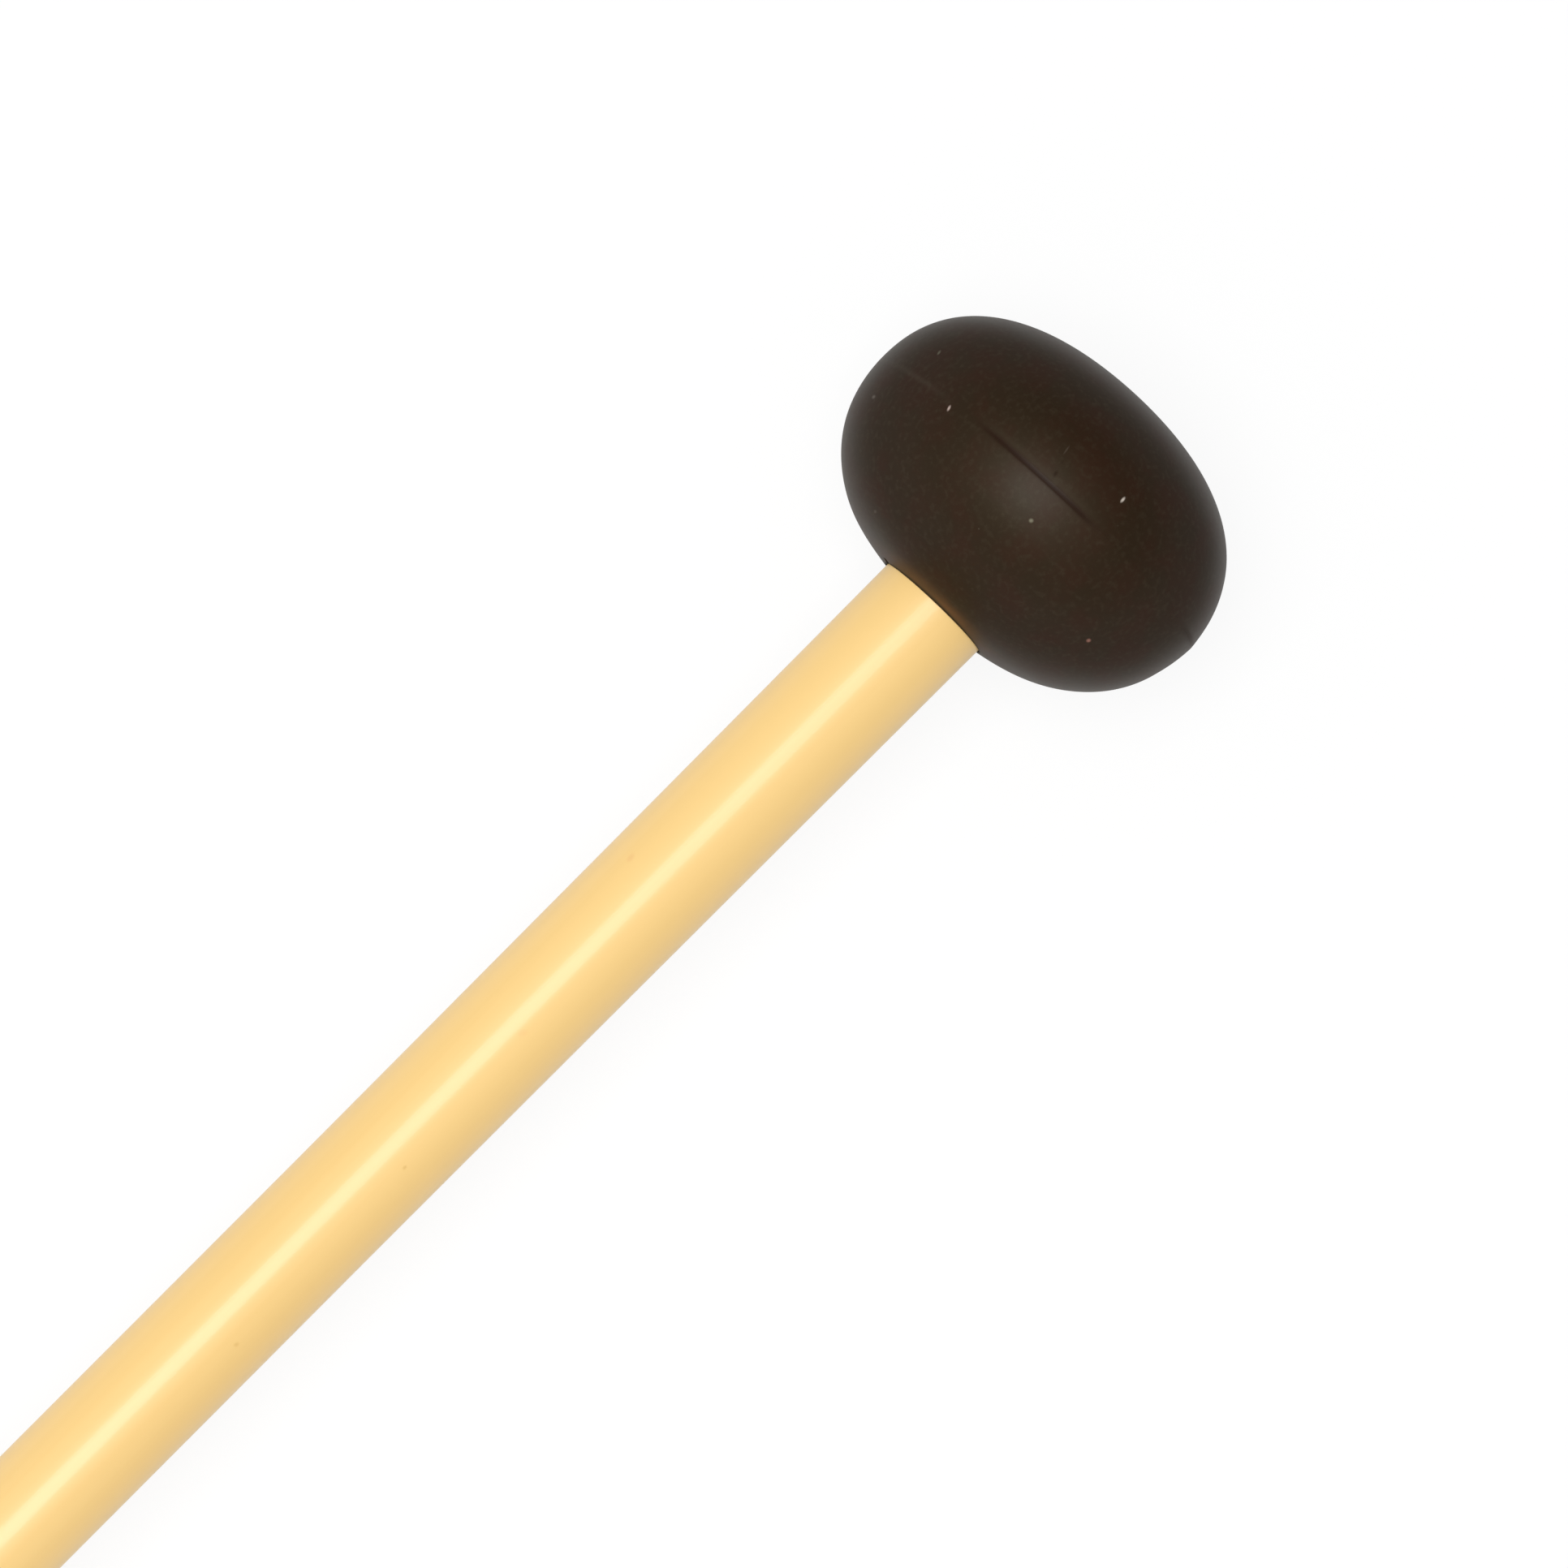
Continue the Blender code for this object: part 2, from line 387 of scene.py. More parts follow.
def finishLacquer(graph, piece):
    point = objectPoint(graph)
    # from the middle of the butt, then turned so that x runs up the shaft
    mapped = {"vector_type": "POINT"}
    local = graph.add("ShaderNodeMapping", mapped, {"Vector": point, "Location": -layDown.translation})
    local = graph.add("ShaderNodeMapping", mapped, {"Vector": local, "Rotation": (0.0, restTilt, 0.0)})
    long = graph.add("ShaderNodeMapping", mapped, {"Vector": local, "Scale": shaft["streakScale"]})
    streaks = graph.add("ShaderNodeTexNoise", {}, {"Vector": long, "Scale": 1.0, "Detail": 3.0})
    clouds = {"Vector": local, "Scale": shaft["cloudScale"], "Detail": 2.0}
    clouds = graph.add("ShaderNodeTexNoise", {}, clouds)
    share = streaks.ease(*shaft["streakFade"]) * shaft["streakShare"]
    share = share + clouds.ease(*shaft["cloudFade"]) * shaft["cloudShare"]
    colour = graph.mix(share, shaft["colour"], shaft["streakColour"])
    # end grain on the butt: rings round a heart that lies off the axis
    split = graph.add("ShaderNodeSeparateXYZ", {}, {"Vector": local})
    atButt = 1.0 - split.ease(0.0, shaft["ringDepth"])
    heartY, heartZ = shaft["ringHeart"]
    fromHeart = ((split.pick("Y") - heartY) ** 2.0 + (split.pick("Z") - heartZ) ** 2.0) ** 0.5
    rings = (fromHeart * (math.tau / shaft["ringSpacing"]) + streaks * shaft["ringWander"]).sin()
    rings = rings * shaft["ringSwing"] + shaft["ringMean"]
    colour = graph.mix(atButt * rings, colour, shaft["ringColour"])
    colour = addMarks(graph, point, piece, shaftMarks, colour)
    finishMaterial(graph, {
        "Base Color": colour,
        "Roughness": shaft["roughness"] + streaks * shaft["streakRoughness"],
        "Coat Weight": shaft["coat"],
        "Coat Roughness": shaft["coatRoughness"],
    })


def makeShaft():
    graph, sizes = shaftTree()
    material, shader = newMaterial("lacquered_birch")
    piece = makePiece("lacquered_shaft", graph, {**sizes, "Finish": material})
    piece.data.set_sharp_from_angle(angle=shaft["sharpEdge"])
    finishLacquer(shader, piece)
    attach(piece, "root")
    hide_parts("shaft")
    print("shaft:", len(piece.data.polygons), "faces")


# Head: two moulded halves, each a superellipse turned about its axis, that meet in a low, broad ridge

head = {
    "radius": 13.91 * mm,
    "tipRise": 9.72 * mm,
    "tipFullness": 2.36,
    "baseRise": 10.08 * mm,
    "baseFullness": 2.22,
    "ridgeHeight": 0.13 * mm,
    "ridgeTipWidth": 4.6 * mm,       # crest to the foot of its flank
    "ridgeBaseWidth": 2.8 * mm,
    "ridgeHollow": 1.3,
    "ridgeSwing": 0.6,               # share by which it stands higher on the -Y side
    "grooveDepth": 0.022 * mm,       # fine line that the mould leaves along the crest
    "grooveHalf": 0.22 * mm,
    "lean": math.radians(2.4),       # the head is bonded a little out of square, towards +Y
    "offset": 0.1 * mm,              # and a little beside the shaft's axis
    "mouthLean": 0.5,                # share of the lean that is left where the rubber grips the shaft
    "mouthNod": math.radians(-1.35),    # and the mouth is pushed in a little on its floor side
    "mouthSink": 0.12 * mm,          # with all of it drawn in round the shaft
    "mouthSpread": 0.7,              # share of the head's radius at which all this has died away
    "gripGap": 0.035 * mm,           # dark crevice between rubber and shaft
    "gripShift": 0.028 * mm,         # the crevice is wider on the -Y side
    "lipRadius": 0.11 * mm,
    "nickAngle": math.radians(105),  # a nick in the lip, from the floor side towards +Y
    "nickReach": 4.44 * mm,          # off the shaft's axis
    "nickRadius": 0.20 * mm,
    "nickDepth": 0.35 * mm,
    "overallLength": 380.0 * mm,
    "holeDepth": 14.1 * mm,
    "segments": 256,
    "baseRings": 100,
    "flankRings": 18,
    "grooveRings": 14,
    "tipRings": 72,
    "lipRings": 12,
    "holeRings": 10,
    "holeEndRings": 6,
    "colour": (0.0120, 0.0042, 0.0002),
    "mottleColour": (0.0160, 0.0030, 0.0),
    "mottleScale": 420.0,
    "mottleFade": (0.35, 0.7),
    "bloomColour": (0.0260, 0.0170, 0.0090),    # fine pale bloom on the rubber
    "bloomScale": 2600.0,
    "bloomFade": (0.45, 0.8),
    "bloomShare": 0.5,
    "seamColour": (0.0130, 0.0030, 0.0006),     # the mould's line is duller and darker than the rest
    "seamWidth": 0.20 * mm,
    "seamMiddle": 1.2 * mm,         # it shows from here to both sides, along Y
    "seamReach": 6.1 * mm,
    "seamFade": 0.55,               # share of that reach at which it starts to fade
    "highlightBandPlace": 0.42 * mm,          # painted highlight: a paler band beside it, towards the tip
    "highlightBandWidth": 0.26 * mm,
    "highlightBandShare": 0.35,
    "traceMiddle": -13.3 * mm,      # the line's short dark trace on the -Y side
    "traceReach": 0.60 * mm,
    "traceShare": 0.6,
    "seamGlintMiddle": 11.3 * mm,        # and its faint pale trace on the +Y side, a painted highlight
    "seamGlintReach": 2.0 * mm,
    "seamGlintShare": 0.2,
    "paintedGlowColour": (0.118, 0.044, 0.013),       # painted reflection: the lit shaft's warm glow on the rubber above the mouth
    "paintedGlowReach": 2.7 * mm,
    "paintedGlowFade": (0.35, 0.65),      # it is patchy, by the mottling
    "paintedGlowPatches": 0.5,
    "creaseShadeColour": (0.0040, 0.0015, 0.0004),   # painted shade: a dull, dark ring round the mouth, off the lip, for the shaded crevice
    "creaseShadeReach": 0.12 * mm,
    "creaseShadeSpread": 0.90 * mm,      # and this much wider on its upper side
    "creaseShadeFade": (0.25, 1.0),
    "mouthEnd": (1.0 * mm, 2.0 * mm),           # the painted reflection and the painted shade stop between these, above the mouth
    "fleckColour": (0.06, 0.05, 0.035),
    "fleckSpacing": 3.4 * mm,
    "fleckRadius": 0.09 * mm,
    "coat": 0.125,
    "coatRoughness": 0.38,
    "specular": 0.235,
    "specularTint": (1.0, 0.87, 0.57, 1.0),
    "roughness": 0.60,
    "mottleRoughness": 0.08,
    "dullRoughness": 0.35,          # added on the mould's line and the dents
    "slantRoughness": 0.33,         # added where the skin is seen aslant, not at the very rim
    "slantFacing": 0.48,            # 0 is square to the eye, 1 edge on
    "slantSpread": 0.21,
    "grainScale": 5200.0,
    "grainDepth": 0.02 * mm,
    "grainStrength": 0.25,
}
head["centreHeight"] = head["overallLength"] - head["tipRise"]

headMarksAndGlints = [       # lint and nicks, by their pixels in the photograph; the first two are bright specks painted as glints off tiny nibs in the skin
    {"pixel": (1169.2, 503.0), "length": 0.36 * mm, "width": 0.14 * mm, "slant": 62, "show": 1.0,
     "colour": (0.40, 0.31, 0.27)},
    {"pixel": (1383.5, 615.8), "length": 0.38 * mm, "width": 0.16 * mm, "slant": 50, "show": 1.0,
     "colour": (0.50, 0.44, 0.38)},
    {"pixel": (1270.5, 641.5), "length": 0.26 * mm, "width": 0.24 * mm, "slant": 0, "show": 0.8,
     "colour": (0.17, 0.16, 0.11)},
    {"pixel": (1341.3, 789.2), "length": 0.27 * mm, "width": 0.23 * mm, "slant": 20, "show": 0.9,
     "colour": (0.22, 0.10, 0.075)},
    {"pixel": (1157.0, 434.5), "length": 0.34 * mm, "width": 0.13 * mm, "slant": 55, "show": 0.5,
     "colour": (0.13, 0.13, 0.09)},
    {"pixel": (1076.5, 489.0), "length": 0.28 * mm, "width": 0.24 * mm, "slant": 0, "show": 0.4,
     "colour": (0.16, 0.14, 0.12)},
    {"pixel": (1314.0, 554.5), "length": 0.60 * mm, "width": 0.10 * mm, "slant": 55, "show": 0.35,
     "colour": (0.09, 0.07, 0.055)},
    {"pixel": (1078.4, 630.3), "length": 0.26 * mm, "width": 0.20 * mm, "slant": 30, "show": 0.35,
     "colour": (0.10, 0.08, 0.065)},
]

headScuffs = [      # small dull dents in the skin, past the mould's line
    {"pixel": (1300.8, 583.3), "length": 0.46 * mm, "width": 0.20 * mm, "slant": 60, "show": 0.9},
    {"pixel": (1308.5, 569.3), "length": 0.30 * mm, "width": 0.18 * mm, "slant": 55, "show": 0.6},
]

headAxis = layDown.to_3x3() @ Vector((0.0, math.sin(head["lean"]), math.cos(head["lean"])))
headCentre = layDown @ Vector((0.0, head["offset"], head["centreHeight"]))


# The mould's line is plain over the middle of the head, fades out, and leaves a trace at its -Y end
def seamShare(y):
    off = abs(y - head["seamMiddle"])
    middle = 1.0 - off.ease(head["seamReach"] * head["seamFade"], head["seamReach"])
    return middle + y.bell(head["traceMiddle"], head["traceReach"]) * head["traceShare"]


# How far the base half stands off the seam's plane at a radius
def baseDepth(radius):
    fullness = head["baseFullness"]
    return head["baseRise"] * (1 - (radius / head["radius"]) ** fullness) ** (1 / fullness)


# The hole fits the shaft, and a rounded lip leads from it to the base half without a corner
def mouthSizes():
    step = 0.001 * mm       # for the base half's slope
    holeRadius = shaft["neckRadius"] + head["gripGap"]
    lipCentre = holeRadius + head["lipRadius"]
    slope = math.atan((baseDepth(lipCentre) - baseDepth(lipCentre + step)) / step)
    mouthRadius = lipCentre + head["lipRadius"] * math.sin(slope)
    return {
        "Hole Radius": holeRadius,
        "Hole Top": shaft["mouthHeight"] + head["holeDepth"] - head["centreHeight"],
        "Lip Radius": head["lipRadius"],
        "Lip Sweep": math.pi / 2 + slope,
        "Mouth Radius": mouthRadius,
        "Mouth Depth": baseDepth(mouthRadius),
    }


def headTree():
    sizes = {
        "Radius": head["radius"],
        "Tip Rise": head["tipRise"],
        "Tip Fullness": head["tipFullness"],
        "Base Rise": head["baseRise"],
        "Base Fullness": head["baseFullness"],
        "Ridge Height": head["ridgeHeight"],
        "Ridge Tip Width": head["ridgeTipWidth"],
        "Ridge Base Width": head["ridgeBaseWidth"],
        "Ridge Hollow": head["ridgeHollow"],
        "Ridge Swing": head["ridgeSwing"],
        "Groove Depth": head["grooveDepth"],
        "Groove Half": head["grooveHalf"],
        "Centre Height": head["centreHeight"],
        "Offset": head["offset"],
        "Lean": head["lean"],
        "Mouth Lean": head["mouthLean"],
        "Mouth Nod": head["mouthNod"],
        "Mouth Sink": head["mouthSink"],
        "Mouth Spread": head["mouthSpread"] * head["radius"],
        "Grip Shift": head["gripShift"],
        "Nick Angle": head["nickAngle"],
        "Nick Reach": head["nickReach"],
        "Nick Radius": head["nickRadius"],
        "Nick Depth": head["nickDepth"],
        **mouthSizes(),
        "Segments": head["segments"],
        "Base Rings": head["baseRings"],
        "Flank Rings": head["flankRings"],
        "Groove Rings": head["grooveRings"],
        "Tip Rings": head["tipRings"],
        "Lip Rings": head["lipRings"],
        "Hole Rings": head["holeRings"],
        "Hole End Rings": head["holeEndRings"],
    }
    graph, size = pieceTree("moulded head", sizes)
    radius, groove, segments = size["Radius"], size["Groove Half"], size["Segments"]
    tip = (size["Tip Rise"], size["Tip Fullness"], size["Ridge Tip Width"])
    base = (size["Base Rise"], size["Base Fullness"], size["Ridge Base Width"])
    quarter = math.pi / 2

    # angle up a half whose height, as a share of the rise, is the sine of it to the power 2 / fullness
    def angleAt(height, rise, fullness):
        return ((height / rise) ** (fullness / 2.0)).arcSin()

    def halfRules(start, end, rise, fullness):
        power = 2.0 / fullness
        return (lambda t: radius * (start + (end - start) * t).cos().atLeast(0.0) ** power,
                lambda t: rise * (start + (end - start) * t).sin().atLeast(0.0) ** power)

    def ridgeAt(height, width):
        return (1.0 - height / width).atLeast(0.0) ** size["Ridge Hollow"]

    def flankRadius(height, rise, fullness, width):
        body = radius * (1.0 - (height / rise) ** fullness) ** (1.0 / fullness)
        return body + size["Ridge Height"] * ridgeAt(height, width)

    # the size that holds on this side of the seam
    def onSide(height, part):
        return base[part] + (tip[part] - base[part]) * (height > 0.0)

    def crestHeight(t):
        return (t * 2.0 - 1.0) * groove

    def crestRadius(t):
        height = crestHeight(t)
        return flankRadius(abs(height), *[onSide(height, part) for part in range(3)])

    atMouth, atBaseFlank = [angleAt(height, *base[:2]) for height in (size["Mouth Depth"], base[2])]
    baseRadius, baseHeight = halfRules(atMouth, atBaseFlank, *base[:2])
    tipRadius, tipHeight = halfRules(angleAt(tip[2], *tip[:2]), quarter, *tip[:2])

    def baseFlank(t):
        return base[2] + (groove - base[2]) * t

    def tipFlank(t):
        return groove + (tip[2] - groove) * t

    flankRings = size["Flank Rings"]
    outside = graph.add("GeometryNodeJoinGeometry", {}, {"Geometry": [
        turnedSheet(graph, segments, size["Base Rings"], baseRadius, lambda t: -baseHeight(t)),
        turnedSheet(graph, segments, flankRings,
                    lambda t: flankRadius(baseFlank(t), *base), lambda t: -baseFlank(t)),
        turnedSheet(graph, segments, size["Groove Rings"], crestRadius, crestHeight),
        turnedSheet(graph, segments, flankRings, lambda t: flankRadius(tipFlank(t), *tip), tipFlank),
        turnedSheet(graph, segments, size["Tip Rings"], tipRadius, tipHeight),
    ]})

    hole, holeTop, lip = size["Hole Radius"], size["Hole Top"], size["Lip Radius"]
    sweep = size["Lip Sweep"]
    lipHeight = lip * (sweep - quarter).cos() - size["Mouth Depth"]
    inside = graph.add("GeometryNodeJoinGeometry", {}, {"Geometry": [
        turnedSheet(graph, segments, size["Hole End Rings"],
                    lambda t: hole * t, lambda t: holeTop + 0.0 * t),
        turnedSheet(graph, segments, size["Hole Rings"],
                    lambda t: hole + 0.0 * t, lambda t: holeTop + (lipHeight - holeTop) * t),
        turnedSheet(graph, segments, size["Lip Rings"],
                    lambda t: hole + lip * (1.0 - (sweep * t).cos()),
                    lambda t: lipHeight - lip * (sweep * t).sin()),
    ]})

    # The body leans and its ridge swings, and the rings near the mouth ease back on to the shaft
    def leaned(mesh, easing):
        position = graph.add("GeometryNodeInputPosition")
        x = graph.add("ShaderNodeSeparateXYZ", {}, {"Vector": position})
        y, z = x.pick("Y"), x.pick("Z")
        reach = (x * x + y * y) ** 0.5
        swing = size["Ridge Height"] * size["Ridge Swing"] * ridgeAt(abs(z), onSide(z, 2))
        cut = (1.0 - (z / groove) ** 2.0).atLeast(0.0)
        cut = cut * cut * size["Groove Depth"] * seamShare(y)
        wider = 1.0 - (swing * (y / reach) + cut) / reach
        onShaft = easing(reach, z)
        lean = size["Lean"] * (1.0 - onShaft * (1.0 - size["Mouth Lean"]))
        middle = (size["Offset"] + z * size["Lean"].sin()) * (1.0 - onShaft)
        middle = middle - size["Grip Shift"] * onShaft
        dish = (x * size["Mouth Nod"].sin() - size["Mouth Sink"]) * onShaft
        offX = x - size["Nick Reach"] * size["Nick Angle"].cos()
        offY = y - size["Nick Reach"] * size["Nick Angle"].sin()
        offZ = z + size["Mouth Depth"]
        nick = (offX * offX + offY * offY + offZ * offZ) ** 0.5
        nick = size["Nick Depth"] * nick.bell(0.0, size["Nick Radius"])
        point = {
            "X": x * wider,
            "Y": middle + y * wider * lean.cos(),
            "Z": size["Centre Height"] + z * size["Lean"].cos() - y * lean.sin() - dish + nick,
        }
        point = graph.add("ShaderNodeCombineXYZ", {}, point)
        return graph.add("GeometryNodeSetPosition", {}, {"Geometry": mesh, "Position": point})

    def nearMouth(reach, z):
        return (1.0 - reach.ease(size["Mouth Radius"], size["Mouth Spread"])) * (-z > 0.0)

    parts = [leaned(outside, nearMouth), leaned(inside, lambda reach, z: reach * 0.0 + 1.0)]
    closeUp(graph, parts, size["Finish"])
    return graph, sizes


def finishRubber(graph, piece):
    point = objectPoint(graph)
    fromCentre = point.vector("SUBTRACT", headCentre)
    height = fromCentre.vector("DOT_PRODUCT", headAxis).pick("Value")
    side = fromCentre.vector("DOT_PRODUCT", acrossShaft).pick("Value")
    # reach is the distance from the shaft's axis, for the finish round the mouth
    fromMouth = point.vector("SUBTRACT", layDown @ Vector((0.0, 0.0, shaft["mouthHeight"])))
    reach = fromMouth.vector("CROSS_PRODUCT", alongShaft).vector("LENGTH").pick("Value")
    upward = (fromMouth.vector("DOT_PRODUCT", -downShaft).pick("Value") / reach).atLeast(0.0)
    upTheHead = fromMouth.vector("DOT_PRODUCT", alongShaft).pick("Value")
    nearMouth = 1.0 - upTheHead.ease(*head["mouthEnd"])
    lip = shaft["neckRadius"] + head["gripGap"] + head["lipRadius"]

    def noise(scale, detail):
        sockets = {"Vector": fromCentre, "Scale": head[scale], "Detail": detail}
        return graph.add("ShaderNodeTexNoise", {}, sockets)

    # mottled rubber with a fine bloom
    mottle = noise("mottleScale", 3.0)
    bloom = noise("bloomScale", 2.0).ease(*head["bloomFade"]) * head["bloomShare"]
    colour = graph.mix(mottle.ease(*head["mottleFade"]), head["colour"], head["mottleColour"])
    colour = graph.mix(bloom, colour, head["bloomColour"])

    # the mould's line, the painted highlight beside it and its pale trace, also a painted highlight
    shown = seamShare(side)
    seam = height.bell(0.0, head["seamWidth"]) * shown
    highlightBand = height.bell(head["highlightBandPlace"], head["highlightBandWidth"]) * shown * head["highlightBandShare"]
    # painted highlight along the line's +Y end
    seamGlint = height.bell(0.0, head["seamWidth"]) * side.bell(head["seamGlintMiddle"], head["seamGlintReach"])
    colour = graph.mix(highlightBand, colour, head["bloomColour"])
    colour = graph.mix(seam, colour, head["seamColour"])
    colour = graph.mix(seamGlint * head["seamGlintShare"], colour, head["fleckColour"])

    # a sparse scatter of flecks
    spacing = head["fleckSpacing"]
    cells = graph.add("ShaderNodeTexVoronoi", {}, {"Vector": fromCentre, "Scale": 1.0 / spacing})
    fleck = 1.0 - cells.pick("Distance").ease(0.0, head["fleckRadius"] / spacing)
    colour = graph.mix(fleck, colour, head["fleckColour"])

    # round the mouth: a patchy painted reflection of the warm shaft, and a dull ring of painted shade
    # under it
    patches = head["paintedGlowPatches"]
    paintedGlow = (1.0 - reach.ease(lip, lip + head["paintedGlowReach"])) * upward * upward * nearMouth
    paintedGlow = paintedGlow * (1.0 - patches + mottle.ease(*head["paintedGlowFade"]) * patches)
    colour = graph.mix(paintedGlow, colour, head["paintedGlowColour"])
    # painted shade of the crevice between rubber and shaft, also made dull
    creaseShade = (reach - lip) / (upward * upward * head["creaseShadeSpread"] + head["creaseShadeReach"])
    creaseShade = (1.0 - creaseShade.ease(*head["creaseShadeFade"])) * nearMouth
    # the head's lint and nicks, with two painted glints
    colour = addMarks(graph, point, piece, headMarksAndGlints, colour)
    colour = graph.mix(creaseShade, colour, head["creaseShadeColour"])

    # seen aslant, the fine grain of the moulded skin scatters more
    aslant = graph.add("ShaderNodeLayerWeight", {}, {"Blend": 0.5}).pick("Facing")
    aslant = aslant.bell(head["slantFacing"], head["slantSpread"])
    dull = seam + sum(markShare(graph, point, piece, mark) for mark in headScuffs)
    roughness = head["roughness"] + (mottle - 0.5) * head["mottleRoughness"]
    roughness = roughness + dull * head["dullRoughness"] + aslant * head["slantRoughness"]
    grain = {"Strength": head["grainStrength"], "Distance": head["grainDepth"]}
    bump = graph.add("ShaderNodeBump", {}, {**grain, "Height": noise("grainScale", 2.0)})
    finishMaterial(graph, {
        "Base Color": colour,
        "Roughness": roughness.atLeast(creaseShade),
        "Coat Weight": head["coat"],
        "Coat Roughness": head["coatRoughness"],
        "Specular IOR Level": head["specular"],
        "Specular Tint": head["specularTint"],
    }, bump)


def makeHead():
    graph, sizes = headTree()
    material, shader = newMaterial("rubber")
    piece = makePiece("moulded_head", graph, {**sizes, "Finish": material})
    finishRubber(shader, piece)
    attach(piece, "root")
    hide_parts("rubber_head")
    print("head:", len(piece.data.polygons), "faces")


# Adhesive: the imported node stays, inside the head, and gets its own finish

adhesive = {
    "colour": (0.62, 0.50, 0.28),
    "cloudColour": (0.70, 0.60, 0.40),
    "cloudScale": 900.0,
    "cloudFade": (0.4, 0.7),
    "roughness": 0.30,
    "cloudRoughness": 0.1,
}


def finishAdhesive():
    material, graph = newMaterial("adhesive")
    cloud = {"Vector": objectPoint(graph), "Scale": adhesive["cloudScale"], "Detail": 2.0}
    cloud = graph.add("ShaderNodeTexNoise", {}, cloud)
    colour = graph.mix(cloud.ease(*adhesive["cloudFade"]), adhesive["colour"], adhesive["cloudColour"])
    roughness = adhesive["roughness"] + cloud * adhesive["cloudRoughness"]
    finishMaterial(graph, {"Base Color": colour, "Roughness": roughness})
    node = frame["nodes"]["adhesive_plug"]
    for slot in node.material_slots:
        slot.material = material
    print("adhesive: finish set on the packed node")


# Stage

stage = {
    "floorHalf": 3.0,
    "floorHeight": -0.03 * mm,
    "floorColour": (0.92, 0.92, 0.92),
    "floorShow": 0.88,              # share of plain white that the camera sees in the floor
    "floorGloss": 0.45,             # and the share in a gloss, which keeps more of the shadow
    "horizonTop": 0.18,             # a gloss sees the room's white up to this rise of its ray
    "worldLight": 0.32,
    "worldSide": (-0.30, 0.06, 0.22),   # the room is brighter towards the butt, +Y and above
    "keyRadiance": 9.6,
    "keySize": (0.49, 0.43),        # along and across the shaft
    "keyDistance": 0.90,
    "keyPlace": 0.014,              # along X
    "keyTurn": math.radians(4.8),   # towards +Y
}


# How white the rays find the backdrop itself: 1 seen straight or through glass, and a share in a gloss
def seenRay(graph, glossShare):
    path = graph.add("ShaderNodeLightPath")
    straight = path.pick("Is Camera Ray").atLeast(path.pick("Is Transmission Ray"))
    return straight.atLeast(path.pick("Is Glossy Ray") * glossShare)


def makeFloor():
    half = stage["floorHalf"]
    around = ((-1, -1), (1, -1), (1, 1), (-1, 1))
    corners = [(x * half, y * half, stage["floorHeight"]) for x, y in around]
    mesh = bpy.data.meshes.new("floor")
    mesh.from_pydata(corners, [], [(0, 1, 2, 3)])
    floor = bpy.data.objects.new("floor", mesh)
    scene.collection.objects.link(floor)
    material, graph = newMaterial("pale_floor")
    plain = graph.add("ShaderNodeBsdfDiffuse", {}, {"Color": (*stage["floorColour"], 1.0)})
    white = graph.add("ShaderNodeEmission", {}, {"Color": (1.0, 1.0, 1.0, 1.0), "Strength": 1.0})
    share = seenRay(graph, stage["floorGloss"] / stage["floorShow"]) * stage["floorShow"]
    shader = graph.add("ShaderNodeMixShader", {}, {0: share, 1: plain, 2: white})
    graph.add("ShaderNodeOutputMaterial", {}, {"Surface": shader})
    mesh.materials.append(material)


def makeWorld():
    world = bpy.data.worlds.new("studio")
    world.use_nodes = True
    world.node_tree.nodes.clear()
    graph = Graph(world.node_tree)
    towards = graph.add("ShaderNodeTexCoord").pick("Generated")
    strength = towards.vector("DOT_PRODUCT", stage["worldSide"]).pick("Value") + stage["worldLight"]
    # the room is seen white as the floor is, in a gloss only near the horizon
    rise = graph.add("ShaderNodeSeparateXYZ", {}, {"Vector": towards}).pick("Z")
    strength = strength.atLeast(seenRay(graph, 1.0 - rise.ease(0.0, stage["horizonTop"])))
    light = graph.add("ShaderNodeBackground", {}, {"Color": (1.0, 1.0, 1.0, 1.0), "Strength": strength})
    graph.add("ShaderNodeOutputWorld", {}, {"Surface": light})
    scene.world = world


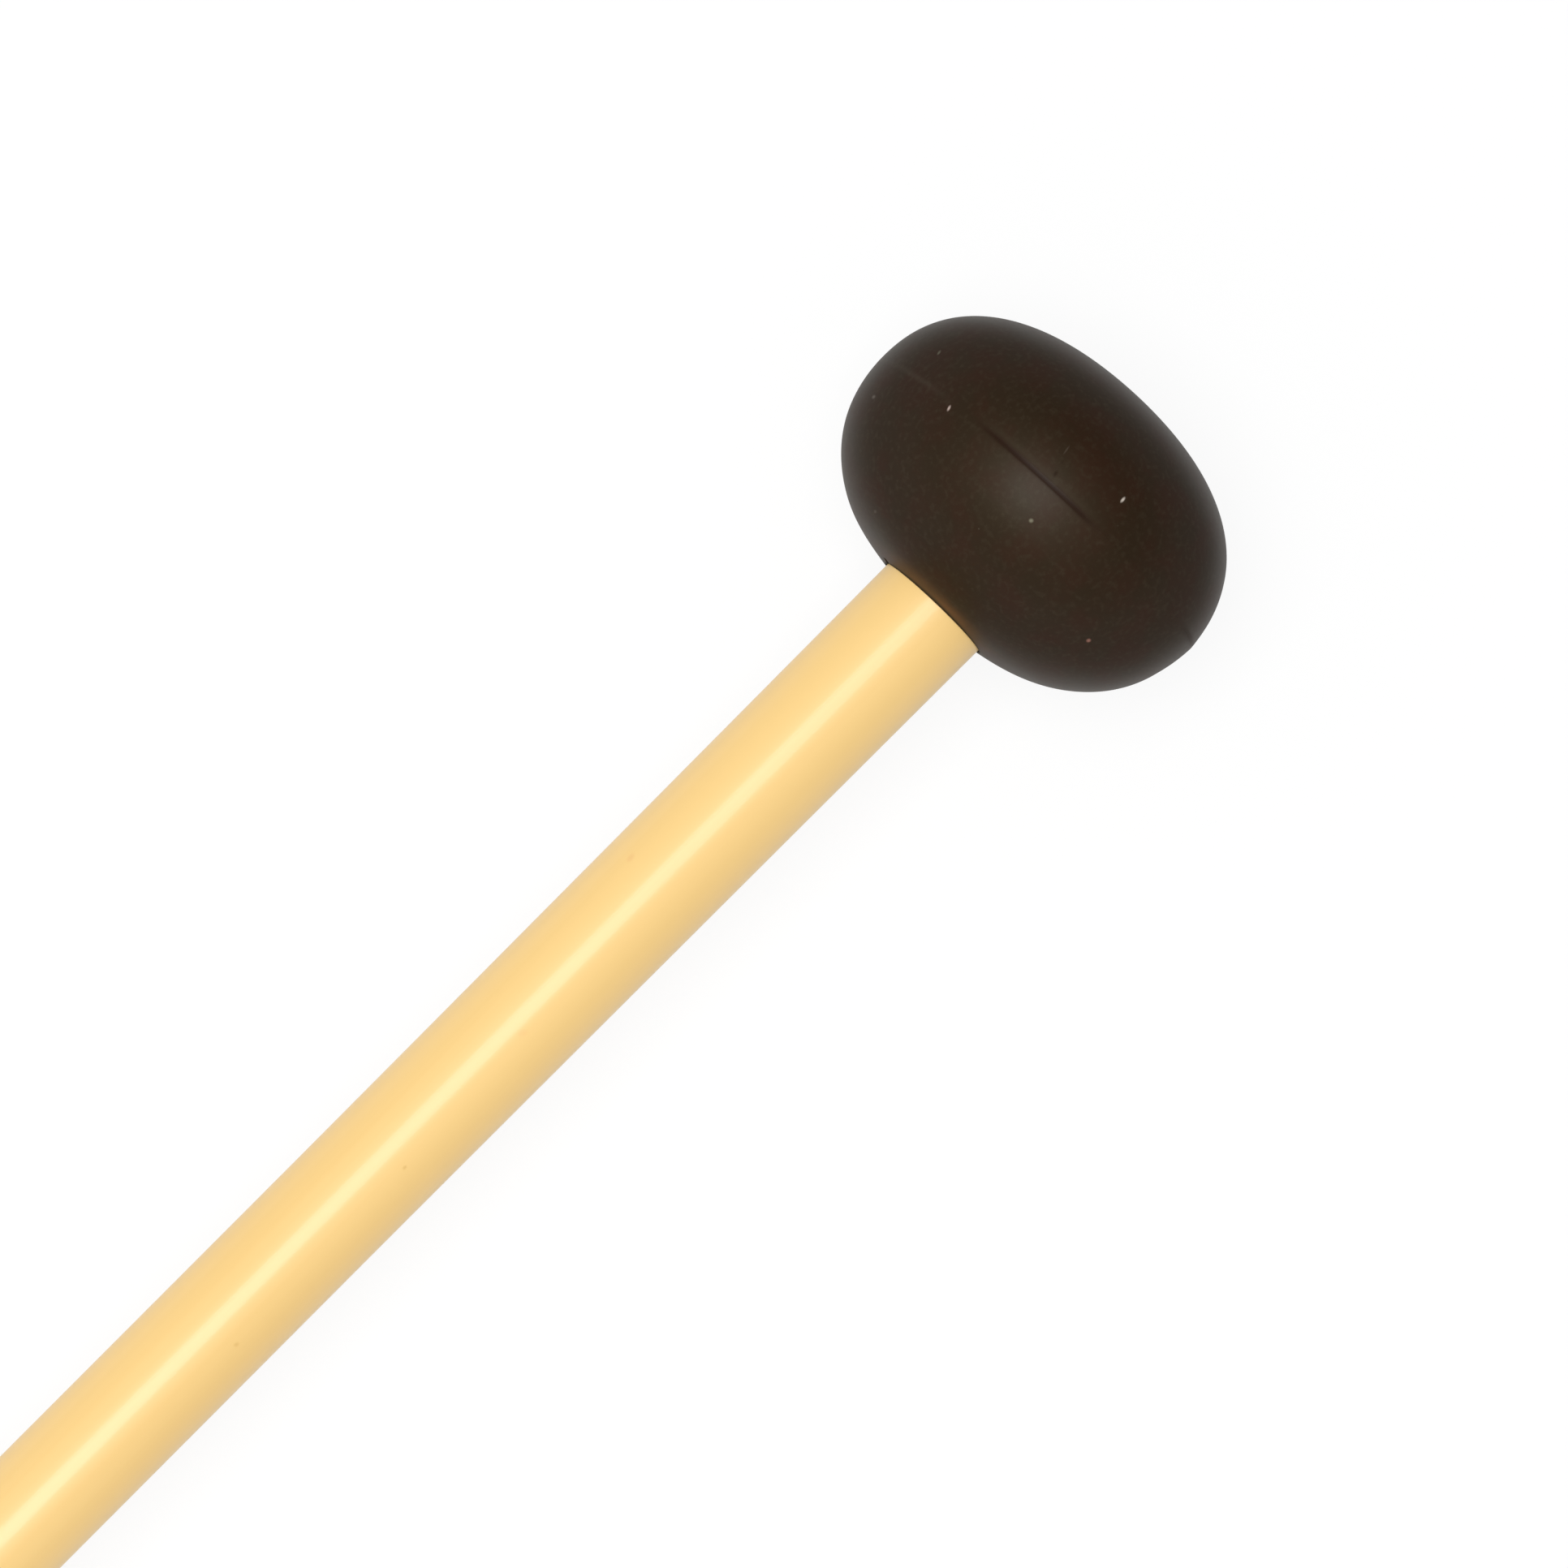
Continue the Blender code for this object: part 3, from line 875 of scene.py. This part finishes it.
def makeKey():
    data = bpy.data.lights.new("key", "AREA")
    data.shape = "RECTANGLE"
    data.size, data.size_y = stage["keySize"]
    data.energy = stage["keyRadiance"] * math.pi * data.size * data.size_y
    key = bpy.data.objects.new("key", data)
    turn = stage["keyTurn"]
    back = Vector((0.0, math.sin(turn), math.cos(turn)))
    side = Vector((1.0, 0.0, 0.0))
    pose = Matrix((side, back.cross(side), back)).transposed().to_4x4()
    pose.translation = Vector((stage["keyPlace"], 0.0, 0.0)) + back * stage["keyDistance"]
    key.matrix_world = pose
    key.visible_camera = False
    scene.collection.objects.link(key)


# Camera: a long lens almost straight above, the shaft on the picture's diagonal

camera = {
    "lens": 300.0,
    "sensorWidth": 36.0,
    "nearest": 10.0 * mm,           # nothing closer to the lens is drawn
    "frameSize": 1932,
    "headPixelX": 1273.1,           # where the middle of the head lies in the photograph
    "headPixelY": 621.7,
    "pixelsPerMm": 18.63,
    "tipAway": math.radians(5.3),   # the tip points this far away from the picture's plane
    "roll": math.radians(0.075),
}


def focalPixels():
    return camera["lens"] / camera["sensorWidth"] * camera["frameSize"]


def makeCamera():
    data = bpy.data.cameras.new("camera")
    data.lens = camera["lens"]
    data.sensor_width = camera["sensorWidth"]
    data.clip_start = camera["nearest"]
    eye = bpy.data.objects.new("camera", data)
    scene.collection.objects.link(eye)
    focal = focalPixels()
    depth = focal / camera["pixelsPerMm"] * mm
    turn = restTilt + camera["tipAway"]
    forward = Vector((math.sin(turn), 0.0, -math.cos(turn)))
    pictured = Vector((math.cos(turn), 0.0, math.sin(turn)))      # the shaft's line in the picture
    diagonal = math.pi / 4 + camera["roll"]
    right = pictured * math.cos(diagonal) - acrossShaft * math.sin(diagonal)
    up = pictured * math.sin(diagonal) + acrossShaft * math.cos(diagonal)
    rightShift = (camera["headPixelX"] - camera["frameSize"] / 2) / focal * depth
    upShift = (camera["frameSize"] / 2 - camera["headPixelY"]) / focal * depth
    pose = Matrix((right, up, -forward)).transposed().to_4x4()
    pose.translation = headCentre - forward * depth - right * rightShift - up * upShift
    eye.matrix_world = pose
    scene.camera = eye


makeCamera()
makeShaft()
makeHead()
finishAdhesive()
makeFloor()
makeWorld()
makeKey()
scene.view_settings.view_transform = "Standard"
print("stage, light and camera set")

bpy.context.view_layer.update()
